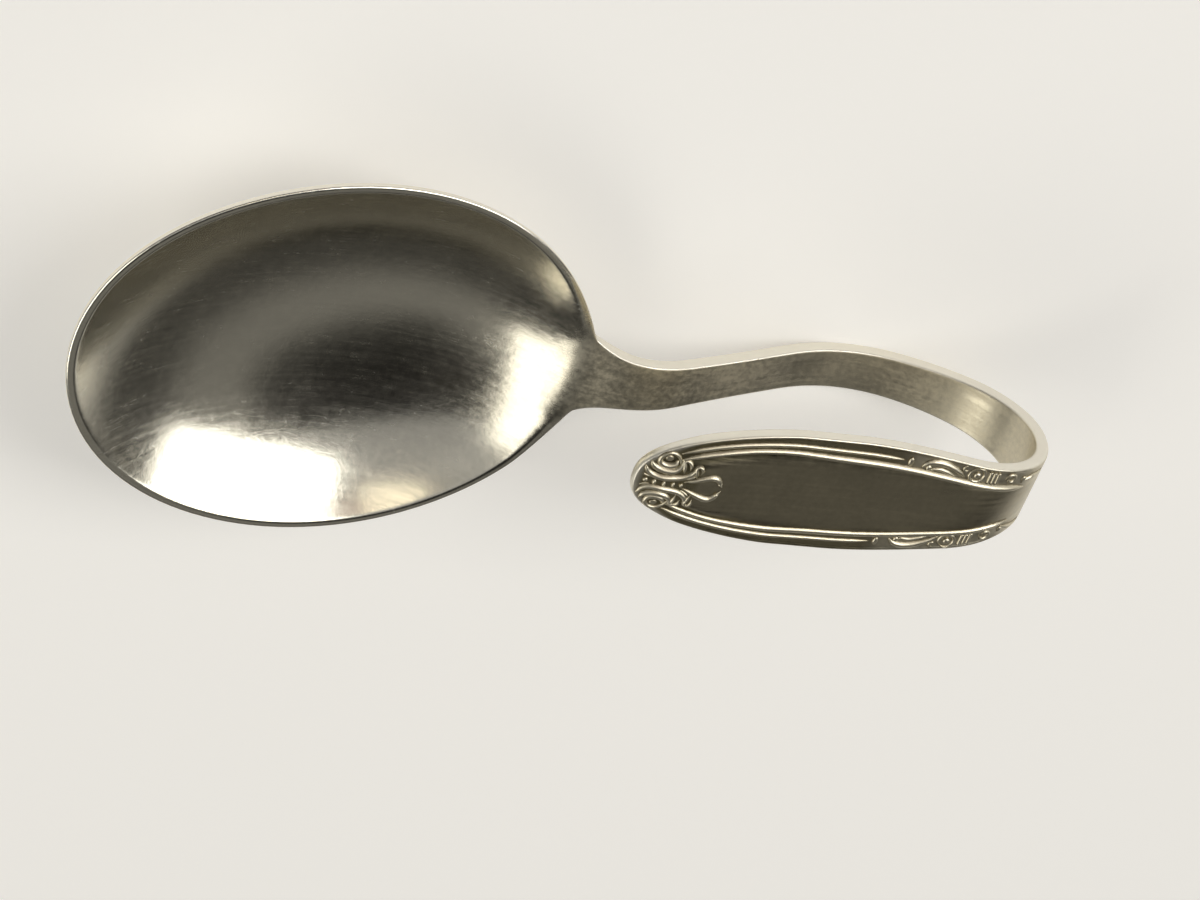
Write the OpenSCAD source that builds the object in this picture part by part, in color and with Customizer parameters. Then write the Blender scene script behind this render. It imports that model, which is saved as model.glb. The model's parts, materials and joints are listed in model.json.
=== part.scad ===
// Baby spoon with a ring handle: a wide oval bowl, a short neck, and a flat stem that dips, rises and
// folds back over itself, so that its wide decorated end lies above the stem and a finger goes through.
// Lengths are in millimetres and turns in degrees. X runs from the bowl's tip to the bend of the handle.

/* [Bowl] */
// Length of the bowl over its rim
bowl_l = 48; // [40:0.5:60]
// Width of the bowl over its rim
bowl_w = 40.4; // [32:0.2:50]
// Depth of the bowl's inside below its rim
bowl_depth = 8.8; // [6:0.2:12]
// Wall at the bowl's bottom
bowl_wall = 0.9; // [0.6:0.1:1.6]
// Width of the flat rim, seen from above
rim_w = 0.9; // [0.6:0.1:1.6]
// Height of the rim's outer edge
rim_edge = 0.6; // [0.5:0.1:1.2]
// Rise of the rim from mid length to the neck, and its drop to the tip
rim_rise = 0.7; // [0:0.1:1.5]
// How much wider than an ellipse the tip's half is
egg_share = 0.025; // [0:0.005:0.06]
// How much fuller than a parabola the bowl is
fullness_share = 0.3; // [0:0.05:0.6]

/* [Neck and stem] */
// Width of the neck where it leaves the rim
neck_w = 10; // [8:0.2:14]
// Height of the neck's middle there, above mid length's rim
neck_z = -0.5; // [-1.5:0.1:0.5]
// Length over which the neck's shoulders run out
shoulder_l = 7.5; // [4:0.5:12]
// Width of the stem at its narrowest
stem_w = 4.6; // [3.6:0.1:7]
// Distance from the rim to the narrowest place, along the stem
waist_at = 19.5; // [14:0.5:26]
// Width that the stem gains from there back to the neck
stem_taper = 1.8; // [0:0.1:3]
// Thickness of the stem and the handle
strip_t = 1.3; // [1:0.1:2.4]
// Break along every edge
edge_break = 0.2; // [0.1:0.05:0.4]

/* [Run of the handle] */
// Angle at which the neck rises from the rim
rise_angle = 21; // [10:1:30]
// Length of the rising neck
rise_l = 3.75; // [3:0.25:6]
// Length of the crown, where the stem turns down
crown_l = 6.5; // [4:0.5:10]
// Turn of the crown
crown_turn = -35; // [-50:1:-20]
// Length of the fall towards the dip
fall_l = 12.5; // [8:0.5:18]
// Length of the dip
dip_l = 11.5; // [8:0.5:18]
// Turn of the dip
dip_turn = 36.5; // [25:0.5:50]
// Length of the climb after the dip
climb_l = 7; // [5:0.5:12]
// Turn of the climb
climb_turn = 14.5; // [5:0.5:25]
// Length of the bend's start
entry_l = 5.5; // [4:0.5:9]
// Turn of the bend's start
entry_turn = 28; // [20:1:40]
// Length of the bend's tight middle
bend_l = 10.5; // [9:0.5:16]
// Turn of the bend's tight middle
bend_turn = 86; // [70:1:95]
// Length of the bend's end
exit_l = 6.5; // [5:0.5:10]
// Turn of the bend's end
exit_turn = 36; // [25:1:45]
// Length of the straight end of the handle
panel_l = 32.25; // [26:0.25:40]
// Sag of the straight end's heading
panel_turn = -1.5; // [-4:0.5:3]

/* [Panel] */
// Width of the handle at its widest
panel_w = 13.3; // [10:0.1:18]
// Distance from the handle's tip to its widest place
widest_from_tip = 20; // [16:0.5:26]
// Length of the rounded tip
tip_l = 15; // [10:0.5:16]
// How late the stem widens
swell_power = 1.9; // [1.2:0.1:2.6]
// How late the tip starts to narrow
tip_power = 1.5; // [1.2:0.1:2.4]
// How blunt the tip is
blunt_power = 0.41; // [0.3:0.01:0.6]

/* [Relief] */
// Height of the relief above the panel
relief_h = 0.35; // [0.2:0.05:0.6]
// Distance from the edge to the outer thread's middle
outer_inset = 1.0; // [0.7:0.1:1.6]
// Distance from the edge to the inner thread's middle
inner_inset = 2.1; // [1.8:0.1:3]
// Width of a thread
thread_w = 0.5; // [0.3:0.05:0.8]
// Distance from the tip to where the outer thread starts
outer_from_tip = 4.4; // [4.2:0.1:8]
// Distance from the tip to where the inner thread starts
inner_from_tip = 5.4; // [5.2:0.1:8]
// Distance from the tip to an eye of the tip's scrolls
eye_from_tip = 2.7; // [2.5:0.1:3]
// Distance from the middle line to an eye of the tip's scrolls
eye_off = 2.6; // [2.5:0.1:2.8]
// Radius of the ring round a tip scroll's eye
scroll_r = 0.75; // [0.6:0.05:0.8]
// Width of a scroll's ridge, and of a leaf's
scroll_w = 0.34; // [0.2:0.02:0.4]
// Spacing of the beads on the tip's middle line
bead_pitch = 0.86; // [0.7:0.02:1]
// Distance from the tip to the roots of the two tendrils
tendril_from_tip = 5.3; // [5.2:0.1:7]
// Length of a tip tendril
tendril_l = 3.1; // [2.5:0.1:4]
// Distance from the tip to the side group's first bead, where the outer thread ends
side_from_tip = 25.2; // [24:0.1:26]
// Length of a side group, from its first bead to its last
side_l = 11.7; // [11:0.1:12]
// Length of the inner thread on the bend, past the straight end
thread_run_on = 5.75; // [2:0.25:6.5]

/* [Hidden] */

semi_l = bowl_l / 2;
semi_w = bowl_w / 2;

// Where the neck's width meets the bowl's outline
neck_x = semi_l * sqrt(1 - pow(neck_w / (bowl_w * (1 - egg_share)), 2));

// Distances along the stem's middle line, from the bowl's rim
crown_s = rise_l + crown_l;
fall_s = crown_s + fall_l;
dip_s = fall_s + dip_l;
climb_s = dip_s + climb_l;
entry_s = climb_s + entry_l;
bend_s = entry_s + bend_l;
exit_s = bend_s + exit_l;
tip_s = exit_s + panel_l;
heading_table = [
    [0, rise_angle],
    [rise_l, rise_angle],
    [crown_s, rise_angle + crown_turn],
    [fall_s, rise_angle + crown_turn],
    [dip_s, rise_angle + crown_turn + dip_turn],
    [climb_s, rise_angle + crown_turn + dip_turn + climb_turn],
    [entry_s, rise_angle + crown_turn + dip_turn + climb_turn + entry_turn],
    [bend_s, rise_angle + crown_turn + dip_turn + climb_turn + entry_turn + bend_turn],
    [exit_s, rise_angle + crown_turn + dip_turn + climb_turn + entry_turn + bend_turn + exit_turn],
    [tip_s, rise_angle + crown_turn + dip_turn + climb_turn + entry_turn + bend_turn + exit_turn
        + panel_turn]];

// Mesh counts
bowl_steps = 26;
across_count = 25;
across_last = across_count - 1;
neck_steps = 6;
line_steps = 384;
strip_steps = 72;
tip_steps = 12;
strip_count = 4;
dome_count = 12;

// Shapes of the relief, as shares of its own sizes
dome_shoulder_share = 0.7;
end_taper_share = 0.5;
tendril_shares = [[0, 0.15, 0.6], [0.25, 0.24, 1], [0.55, 0.3, 1], [0.8, 0.28, 0.9], [0.97, 0.21, 0.8],
    [1, 0.1, 0.6]];
tendril_top_shares = [[0.07, 0.32], [0.16, 0.25], [0.26, 0.29], [0.36, 0.42], [0.43, 0.62]];
tendril_foot_shares = [[0.21, 0.72], [0.28, 0.64], [0.35, 0.66], [0.42, 0.8]];
scroll_angles = [60, -330];
inner_leaf_angles = [190, 325];
outer_leaf_angles = [200, 322];
rosette_angles = [170, 380];
leaf_gap = scroll_w / 2;
rosette_r = scroll_w * 1.7;

function smooth(t) = let (u = max(0, min(1, t))) u * u * (3 - 2 * u);
function mix(a, b, t) = a + (b - a) * t;

// The bowl, in its own level frame: half width of the outline, height of the rim, and the two faces
function egg(x) = 1 - egg_share * pow(x / semi_l, 3);
function bowl_half_w(x) = semi_w * sqrt(max(0, 1 - pow(x / semi_l, 2))) * egg(x);
function rim_z(x) = rim_rise * pow(x / semi_l, 3);
function reach(x, y, inset) = pow(x / (semi_l - inset), 2) + pow(y / ((semi_w - inset) * egg(x)), 2);
function hollow(q) = max(0, (1 - q) * (1 + fullness_share * q));
function inner_z(x, y) = rim_z(x) - bowl_depth * hollow(reach(x, y, rim_w));
function outer_z(x, y) = rim_z(x) - rim_edge
    - (bowl_depth + bowl_wall - rim_edge) * hollow(reach(x, y, 0));

// The strip: heading, middle line and half width at a distance s from the rim
function heading(s) = lookup(s, heading_table);
line_step = tip_s / line_steps;
line = [for (i = 0, p = [neck_x, neck_z]; i <= line_steps;
    p = p + line_step * [cos(heading((i + 0.5) * line_step)), sin(heading((i + 0.5) * line_step))],
    i = i + 1) p];
line_x = [for (i = [0:line_steps]) [i * line_step, line[i].x]];
line_z = [for (i = [0:line_steps]) [i * line_step, line[i].y]];
stem_flare = (neck_w - stem_w - stem_taper) / 2;
function stem_half_w(s) = stem_w / 2 + stem_taper / 2 * pow(max(0, 1 - s / waist_at), 2)
    + stem_flare * pow(max(0, 1 - s / shoulder_l), 3);
function swell(s) = smooth(pow(max(0, (s - waist_at) / (tip_s - widest_from_tip - waist_at)), swell_power));
function tip_round(s) = let (u = max(0, (s - tip_s + tip_l) / tip_l))
    pow(max(0, 1 - pow(u, tip_power)), blunt_power);
function strip_half_w(s) = mix(stem_half_w(s), panel_w / 2, swell(s)) * tip_round(s);

// A point of the strip's section at s: y across, n above the middle face
function strip_point(s, y, n) = [
    lookup(s, line_x) - n * sin(heading(s)),
    y,
    lookup(s, line_z) + n * cos(heading(s))];
function strip_ring(s) = let (
    w = strip_half_w(s),
    c = min(edge_break, w / 2),
    t = strip_t / 2) [
    strip_point(s, -w, t - c), strip_point(s, -w + c, t), strip_point(s, w - c, t), strip_point(s, w, t - c),
    strip_point(s, w, c - t), strip_point(s, w - c, -t), strip_point(s, c - w, -t), strip_point(s, -w, c - t)];

// Stations along the strip: even steps, then closer ones round the tip
tip_start = tip_s - tip_l;
stations = concat(
    [for (i = [0:strip_steps]) mix(rise_l, tip_start, i / strip_steps)],
    [for (i = [1:tip_steps]) tip_start + tip_l * sin(89.5 * i / tip_steps)]);
function stations_between(a, b) = [for (s = stations) if (s >= a - line_step / 2 && s <= b + line_step / 2) s];
function nearest_station(s) = let (gaps = [for (v = stations) abs(v - s)]) stations[search(min(gaps), gaps)[0]];

// Cuts between the strip's nodes, on stations
stem_end = nearest_station(climb_s);
bend_end = nearest_station(exit_s);

// The bowl and the neck share one family of upright sections. A section goes over from the bowl's faces
// to the strip's over the blend length, and the neck's sections lean until they stand square to the stem.
blend_from = neck_x - shoulder_l / 2;
neck_end_x = neck_x + rise_l * cos(rise_angle);
function blend(x) = smooth((x - blend_from) / (neck_end_x - blend_from));
function lean(x) = rise_angle * max(0, min(1, (x - neck_x) / (neck_end_x - neck_x)));
function section_half_w(x) = x < neck_x ? bowl_half_w(x)
    : stem_half_w((x - neck_x) / cos(rise_angle));
function section_y(x, j) = let (w = section_half_w(x), c = min(edge_break, w / 4))
    j == 0 ? -w : j == across_last ? w : mix(c - w, w - c, (j - 1) / (across_last - 2));
function section_point(x, j, side) = let (
    y = section_y(x, j),
    c = j == 0 || j == across_last ? edge_break : 0,
    n = side * (strip_t / 2 - c) / (c == 0 ? cos(rise_angle - lean(x)) : 1),
    b = side > 0 ? inner_z(x, y) - c : outer_z(x, y) + c,
    zs = neck_z + (x - neck_x) * tan(rise_angle),
    m = blend(x))
    [mix(x, x - n * sin(lean(x)), m), y, mix(b, zs + n * cos(lean(x)), m)];
function section_ring(x) = concat(
    [for (j = [0:across_last]) section_point(x, j, 1)],
    [for (j = [across_last:-1:0]) section_point(x, j, -1)]);

bowl_stations = [for (i = [0:bowl_steps]) mix(-semi_l * cos(1), neck_x, (1 - cos(180 * i / bowl_steps)) / 2)];
neck_stations = [for (i = [0:neck_steps]) mix(neck_x, neck_end_x, i / neck_steps)];
bowl_rings = [for (x = bowl_stations) section_ring(x)];
neck_rings = [for (x = neck_stations) section_ring(x)];

// At rest the spoon stands on the bowl's bottom and on the dip of its stem: the tilt that levels the two
bowl_keel = [for (x = bowl_stations) [x, outer_z(x, 0)]];
stem_keel = [for (s = stations) if (s < stem_end) let (p = strip_point(s, 0, -strip_t / 2)) [p.x, p.z]];
function height(p, tilt) = p.y * cos(tilt) - p.x * sin(tilt);
function lowest(points, tilt) = let (h = [for (p = points) height(p, tilt)]) points[search(min(h), h)[0]];
function level(tilt, passes) = passes == 0 ? tilt : let (
    a = lowest(bowl_keel, tilt),
    b = lowest(stem_keel, tilt))
    level(atan((b.y - a.y) / (b.x - a.x)), passes - 1);
rest_tilt = level(8, 5);

// The origin is under the middle of the spoon, on the table
outline = concat([for (r = bowl_rings) each r], [for (s = stations) each strip_ring(s)]);
reach_x = [for (p = outline) p.x * cos(rest_tilt) + p.z * sin(rest_tilt)];
mid_x = (min(reach_x) + max(reach_x)) / 2;
table_z = height(lowest(bowl_keel, rest_tilt), rest_tilt);

module place() translate([-mid_x, 0, -table_z]) rotate([0, rest_tilt, 0]) children();

// A solid through rings of 2n points: n over the top, then n back along the bottom
module loft(rings, n) {
    k = 2 * n;
    last = (len(rings) - 1) * k;
    sides = [for (i = [0:len(rings) - 2]) for (j = [0:k - 1]) let (a = i * k + j, b = i * k + (j + 1) % k)
        each [[a, b, b + k], [a, b + k, a + k]]];
    start = [for (j = [0:n - 2]) each [[j, k - 1 - j, k - 2 - j], [j, k - 2 - j, j + 1]]];
    end = [for (j = [0:n - 2]) each [
        [last + j, last + j + 1, last + k - 2 - j],
        [last + j, last + k - 2 - j, last + k - 1 - j]]];
    polyhedron(points = [for (r = rings) each r], faces = concat(sides, start, end), convexity = 6);
}

module strip(from, to) place() loft([for (s = stations_between(from, to)) strip_ring(s)], strip_count);

// Relief stands on the strip's outer face, a hair clear of it. A place on the face is [d, y], with d the
// distance from the handle's tip and y the distance from the middle line.
seat = edge_break / 10;
face_x = [for (s = stations) [s, strip_point(s, 0, -strip_t / 2).x]];
face_z = [for (s = stations) [s, strip_point(s, 0, -strip_t / 2).z]];
function face_point(d, y, h) = let (s = tip_s - d) [
    lookup(s, face_x) + (seat + h) * sin(heading(s)),
    y,
    lookup(s, face_z) - (seat + h) * cos(heading(s))];
function face_half_w(d) = strip_half_w(tip_s - d);

// A ridge along a path of [d, y, width], with a flat top half as wide as its foot
module ridge(path, h) {
    n = len(path);
    rings = [for (i = [0:n - 1]) let (
        a = path[max(0, i - 1)],
        b = path[min(n - 1, i + 1)],
        l = norm([b.x - a.x, b.y - a.y]),
        side = [-(b.y - a.y), b.x - a.x] * path[i].z / 2 / l)
        [face_point(path[i].x - side.x, path[i].y - side.y, 0),
            face_point(path[i].x - side.x / 2, path[i].y - side.y / 2, h),
            face_point(path[i].x + side.x / 2, path[i].y + side.y / 2, h),
            face_point(path[i].x + side.x, path[i].y + side.y, 0)]];
    place() loft(rings, 2);
}

// A low dome on the face, a long and b wide
module dome(d, y, a, b, h) {
    n = dome_count;
    turn = [for (k = [0:n - 1]) [cos(360 * k / n), -sin(360 * k / n)]];
    foot = [for (t = turn) face_point(d + a / 2 * t.x, y + b / 2 * t.y, 0)];
    waist = [for (t = turn) face_point(d + a / 3 * t.x, y + b / 3 * t.y, h * dome_shoulder_share)];
    place() polyhedron(
        points = concat(foot, waist, [face_point(d, y, h), face_point(d, y, 0)]),
        faces = [for (k = [0:n - 1]) let (next = (k + 1) % n) each [
            [k, n + next, n + k], [k, next, n + next], [n + k, n + next, 2 * n], [next, k, 2 * n + 1]]]);
}

// A path round a centre, from the first angle to the last, while its radius goes from r0 to r1. Its ends
// are narrower than its middle.
function arc(d, y, r0, r1, angles, w, n) = [for (i = [0:n]) let (
    t = i / n,
    r = mix(r0, r1, t),
    a = mix(angles[0], angles[1], t))
    [d + r * cos(a), y + r * sin(a), taper(w, t)]];
function taper(w, t) = w * (1 - end_taper_share * pow(abs(2 * t - 1), 4));
function along_edge(from, to, inset) = [for (s = stations) let (d = tip_s - s) if (d > from && d < to)
    [d, face_half_w(d) - inset, thread_w]];

// A ridge on a side group: distances from the group's first bead and insets from the edge, as shares of
// the group's length and of the room beside the inner thread
side_room = inner_inset - thread_w / 2;
function side_d(share) = side_from_tip + share * side_l;
function side_y(d, share) = face_half_w(d) - share * side_room;
module side_ridge(shares, w) {
    n = len(shares) - 1;
    ridge([for (i = [0:n]) let (d = side_d(shares[i].x))
        [d, side_y(d, shares[i].y), taper(w, i / n)]], relief_h);
}
module side_dome(d_share, y_share, a, b) {
    d = side_d(d_share);
    dome(d, side_y(d, y_share), a, b, relief_h);
}

module bowl() color("#b8b3a4") place() loft(bowl_rings, across_count);
module neck() color("#b3ae9f") place() loft(neck_rings, across_count);
module stem() color("#aea99a") strip(rise_l, stem_end);
module loop_bend() color("#b8b3a4") strip(stem_end, bend_end);
module handle_panel() color("#8e897a") strip(bend_end, tip_s);

// The relief's pieces are drawn on the near half. The far half's are their mirror images.
module outer_thread() color("#cfc8b2")
    ridge(along_edge(outer_from_tip, side_from_tip - bead_pitch / 2, outer_inset), relief_h);
module inner_thread() color("#cfc8b2")
    ridge(along_edge(inner_from_tip, panel_l + thread_run_on, inner_inset), relief_h);

// A scroll coils round its eye, and two crescent leaves lie round it on the tip's side
module tip_scroll() color("#d6cfb9")
    ridge(arc(eye_from_tip, eye_off, scroll_r, scroll_r / 2, scroll_angles, scroll_w, 22), relief_h);
module tip_leaves() color("#d6cfb9") {
    r = scroll_r + scroll_w + leaf_gap;
    pitch = scroll_w + leaf_gap;
    ridge(arc(eye_from_tip, eye_off, r, r + leaf_gap, inner_leaf_angles, scroll_w, 12), relief_h);
    ridge(arc(eye_from_tip, eye_off, r + pitch, r + 2 * pitch, outer_leaf_angles, scroll_w, 12), relief_h);
}
module tip_beads() color("#d6cfb9") for (i = [1:5])
    dome((i + 0.3) * bead_pitch, 0, bead_pitch * 0.6, bead_pitch / 2, relief_h);
module tip_tendril() color("#d6cfb9") {
    ridge([for (p = tendril_shares)
        [tendril_from_tip + p.x * tendril_l, p.y * tendril_l, p.z * scroll_w]], relief_h);
    dome(tendril_from_tip + 0.82 * tendril_l, 0.12 * tendril_l, scroll_w, scroll_w, relief_h);
}

module side_beads() color("#d6cfb9") {
    side_dome(0, 0.54, thread_w, 2 * thread_w);
    side_dome(0.16, 0.76, 1.2 * thread_w, 1.4 * thread_w);
    side_dome(0.9, 0.45, 1.4 * thread_w, 1.4 * thread_w);
    side_dome(1, 0.62, thread_w, thread_w);
}
module side_tendril() color("#d6cfb9") {
    side_ridge(tendril_top_shares, thread_w);
    side_ridge(tendril_foot_shares, thread_w * 0.7);
}
module side_rosette() color("#d6cfb9") {
    d = side_d(0.55);
    y = side_y(d, 0.48);
    ridge(arc(d, y, rosette_r, rosette_r, rosette_angles, scroll_w, 14), relief_h);
    dome(d, y, rosette_r, rosette_r, relief_h);
}
module side_collar() color("#d6cfb9") for (share = [0.69, 0.735, 0.78])
    side_ridge([[share, 0.25], [share, 0.55], [share, 0.85]], thread_w * 0.6);

// The part
bowl();
neck();
stem();
loop_bend();
handle_panel();
outer_thread();  // near_outer_thread
mirror([0, 1, 0]) outer_thread();  // far_outer_thread
inner_thread();  // near_inner_thread
mirror([0, 1, 0]) inner_thread();  // far_inner_thread
tip_scroll();  // near_tip_scroll
mirror([0, 1, 0]) tip_scroll();  // far_tip_scroll
tip_leaves();  // near_tip_leaves
mirror([0, 1, 0]) tip_leaves();  // far_tip_leaves
tip_beads();
tip_tendril();  // near_tip_tendril
mirror([0, 1, 0]) tip_tendril();  // far_tip_tendril
side_beads();  // near_side_beads
mirror([0, 1, 0]) side_beads();  // far_side_beads
side_tendril();  // near_side_tendril
mirror([0, 1, 0]) side_tendril();  // far_side_tendril
side_rosette();  // near_side_rosette
mirror([0, 1, 0]) side_rosette();  // far_side_rosette
side_collar();  // near_side_collar
mirror([0, 1, 0]) side_collar();  // far_side_collar
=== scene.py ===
import bpy
import bmesh
import bisect
import json
import math
from mathutils import Matrix, Vector
from mathutils.kdtree import KDTree

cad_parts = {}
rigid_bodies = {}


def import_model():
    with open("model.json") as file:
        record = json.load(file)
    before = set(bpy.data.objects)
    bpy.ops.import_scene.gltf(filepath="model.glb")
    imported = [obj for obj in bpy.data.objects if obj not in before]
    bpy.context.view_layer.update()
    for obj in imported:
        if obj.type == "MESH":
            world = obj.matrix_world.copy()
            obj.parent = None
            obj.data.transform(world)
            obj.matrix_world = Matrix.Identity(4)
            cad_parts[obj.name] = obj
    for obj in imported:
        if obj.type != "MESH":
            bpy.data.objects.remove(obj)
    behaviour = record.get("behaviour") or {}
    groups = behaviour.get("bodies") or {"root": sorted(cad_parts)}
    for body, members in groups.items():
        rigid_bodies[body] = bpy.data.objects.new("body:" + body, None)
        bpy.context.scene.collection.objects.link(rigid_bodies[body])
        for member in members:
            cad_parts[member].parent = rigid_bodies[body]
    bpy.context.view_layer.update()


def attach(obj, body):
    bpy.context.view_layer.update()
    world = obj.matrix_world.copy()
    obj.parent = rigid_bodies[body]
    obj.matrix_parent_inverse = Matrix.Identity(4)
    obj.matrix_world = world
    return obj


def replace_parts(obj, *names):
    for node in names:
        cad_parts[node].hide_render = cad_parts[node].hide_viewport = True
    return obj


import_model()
mm = 0.001


def smooth(t):
    t = max(0.0, min(1.0, t))
    return t * t * (3 - 2 * t)


def ease(place, span):  # from 0 to 1 over a span, given as where it starts and how long it is
    return smooth((place - span[0]) / span[1])


def mix(a, b, t):
    return a + (b - a) * t


# Lengths are in millimetres and turns in degrees. The spoon is drawn with its rim level, and laid down last.
# The bowl: its outline, its rim and its two faces
bowl = {"length": 48, "width": 40.4, "depth": 8.8, "wall": 0.9,
        "rim": 0.72,  # width of the flat on top of the rim
        "rimEdge": 0.6,  # height of the rim's outer side
        "rimRise": 0.7,  # from the middle of the bowl to the neck
        "egg": 0.025,  # how much wider than an ellipse the tip's half is
        "fullness": 0.3,  # how much fuller than a parabola the hollow is
        "rimRoll": 0.014, "neckRoll": 0.1, "outerRoll": 0.0001,  # how softly the hollow runs out at its edge
        "neckRun": (18.5, 3.5), "neckHalf": 6.4, "neckSide": 3,  # where it runs out into the neck
        "rimRound": 0.24}


def eggShape(x):
    return 1 - bowl["egg"] * (2 * x / bowl["length"]) ** 3


def rimHeight(x):
    return bowl["rimRise"] * (2 * x / bowl["length"]) ** 3


def hollow(x, y, inset, roll):  # a share of the depth: 1 in the middle and 0 at the edge
    left = 1 - (x / (bowl["length"] / 2 - inset)) ** 2 - (y / ((bowl["width"] / 2 - inset) * eggShape(x))) ** 2
    left = (left + math.sqrt(left * left + roll * roll)) / 2
    return left * (1 + bowl["fullness"] * (1 - left))


def insideHeight(x, y):
    gentle = ease(x, bowl["neckRun"]) * smooth((bowl["neckHalf"] - abs(y)) / bowl["neckSide"])
    return rimHeight(x) - bowl["depth"] * hollow(x, y, bowl["rim"], mix(bowl["rimRoll"], bowl["neckRoll"], gentle))


def outsideHeight(x, y):
    deep = bowl["depth"] + bowl["wall"] - bowl["rimEdge"]
    return rimHeight(x) - bowl["rimEdge"] - deep * hollow(x, y, 0, bowl["outerRoll"])


# The strip, from the bowl's rim to the handle's tip: half its width, and its middle line seen from the side
strip = {"length": 96, "thickness": 1.3,
         "neckWidth": 10, "neckHeight": -0.5, "shoulder": 7.5,
         "waist": 4.6, "waistAt": 19.5, "taper": 1.8,
         "width": 13.3, "widestAt": 76, "swell": 1.9,
         "tip": 15, "tipRound": 1.5, "blunt": 0.41,
         "rise": 3.75, "riseAngle": 21,
         "soften": 1.2,  # how far each change of turn is eased, as metal bends
         "fillet": 3.5, "filletReach": 6,
         "stemRound": 0.2, "panelRound": 0.36, "tipEdgeRound": 0.56,
         "panelRun": (42, 12), "tipRun": (90, 3.5)}  # where the rounding grows to the panel's and to the tip's
stretches = [(3.75, 0), (6.5, -35), (12.5, 0), (11.5, 36.5), (7, 14.5), (5.5, 28), (10.5, 86), (6.5, 36),
             (32.25, -1.5)]  # length and turn of each


def stripHalfWidth(s):
    stem = (strip["waist"] + strip["taper"] * max(0, 1 - s / strip["waistAt"]) ** 2) / 2
    stem += (strip["neckWidth"] - strip["waist"] - strip["taper"]) / 2 * max(0, 1 - s / strip["shoulder"]) ** 3
    grown = max(0, (s - strip["waistAt"]) / (strip["widestAt"] - strip["waistAt"])) ** strip["swell"]
    tip = max(0, (s - strip["length"] + strip["tip"]) / strip["tip"])
    return mix(stem, strip["width"] / 2, smooth(grown)) * max(0, 1 - tip ** strip["tipRound"]) ** strip["blunt"]


def rawHeading(s):
    turned, begin = strip["riseAngle"], 0
    for length, turn in stretches:
        turned += turn * max(0, min(1, (s - begin) / length))
        begin += length
    return turned


def heading(s):
    soften = max(0, min(strip["soften"], s - strip["rise"], strip["length"] - s))
    return sum(rawHeading(s + soften * k / 3) for k in range(-3, 4)) / 7


neckX = bowl["length"] / 2 * math.sqrt(1 - (strip["neckWidth"] / (bowl["width"] * (1 - bowl["egg"]))) ** 2)
lineStep = 0.05
middleLine = [(neckX, strip["neckHeight"])]
for k in range(int(strip["length"] / lineStep) + 2):
    way = math.radians(heading((k + 0.5) * lineStep))
    middleLine.append((middleLine[-1][0] + lineStep * math.cos(way), middleLine[-1][1] + lineStep * math.sin(way)))


def stripPoint(s, y, n):
    k = max(0, min(len(middleLine) - 2, int(s / lineStep)))
    t = s / lineStep - k
    way = math.radians(heading(s))
    x = mix(middleLine[k][0], middleLine[k + 1][0], t) - n * math.sin(way)
    return x, y, mix(middleLine[k][1], middleLine[k + 1][1], t) + n * math.cos(way)


# The tip's edge, as places that lie closer together towards the point
tipFrom = 80


def tipPlaces(count):
    along = [mix(tipFrom, strip["length"], math.sin(k / count * math.pi / 2)) for k in range(count + 1)]
    return [(s, stripHalfWidth(s)) for s in along]


tipEdge = tipPlaces(120)


def insetOf(s, y):  # how far in from the edge a place lies
    if s < tipFrom + 0.5:
        return stripHalfWidth(s) - abs(y)
    return min(math.hypot(s - a, abs(y) - b) for a, b in tipEdge)


# The handle's outer face has a shallow cove beside its edge, for the threads, and a slight camber
cove = {"depth": 0.16, "side": (0.12, 0.35), "back": (2, 0.8), "start": (57, 4), "end": (90.2, 1.2)}
camber = {"from": 0.9, "run": 3.4, "height": 0.14, "tipRun": 1.9, "tipHeight": 0.4, "tip": (83, 6),
          "middle": 0.06, "wide": 5, "start": (54, 12)}


def faceDrop(s, y):  # how far the outer face lies under a flat one, and less than 0 where it stands proud
    if s < camber["start"][0] or stripHalfWidth(s) <= abs(y):
        return 0
    inset = insetOf(s, y)
    deep = cove["depth"] * ease(inset, cove["side"]) * max(1 - ease(inset, cove["back"]), ease(s, cove["end"]))
    tip = ease(s, camber["tip"])
    run, height = mix(camber["run"], camber["tipRun"], tip), mix(camber["height"], camber["tipHeight"], tip)
    swell = height * smooth((inset - camber["from"]) / run) + camber["middle"] * smooth(inset / camber["wide"])
    return deep * ease(s, cove["start"]) - swell * ease(s, camber["start"])


# From the flat blank to the formed spoon: x along, y across, and part from -1 on the under face to 1 on top
neckEnd = neckX + strip["rise"] * math.cos(math.radians(strip["riseAngle"]))
blendFrom = neckX - strip["shoulder"] / 2
rest = {"tilt": 7.98854, "alongX": 22.0608, "upZ": -10.0203}


def neckBlend(x):
    return smooth((x - blendFrom) / (neckEnd - blendFrom))


def blankThickness(x):
    return mix(bowl["rimEdge"], strip["thickness"], neckBlend(x))


def filletShare(x):  # how much wider the blank is where the bowl's outline turns into the neck
    if not neckX - strip["filletReach"] < x < bowl["length"] / 2:
        return 1
    bowlSide = bowl["width"] / 2 * math.sqrt(max(0, 1 - (2 * x / bowl["length"]) ** 2)) * eggShape(x)
    slope = (stripHalfWidth(0) - stripHalfWidth(0.1)) * 10
    neckSide = stripHalfWidth(max(0, x - neckX)) + slope * max(0, neckX - x)
    near = max(0, strip["fillet"] - abs(bowlSide - neckSide)) / strip["fillet"]
    return 1 + near * near * strip["fillet"] / 4 / max(bowlSide, neckSide)


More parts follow.
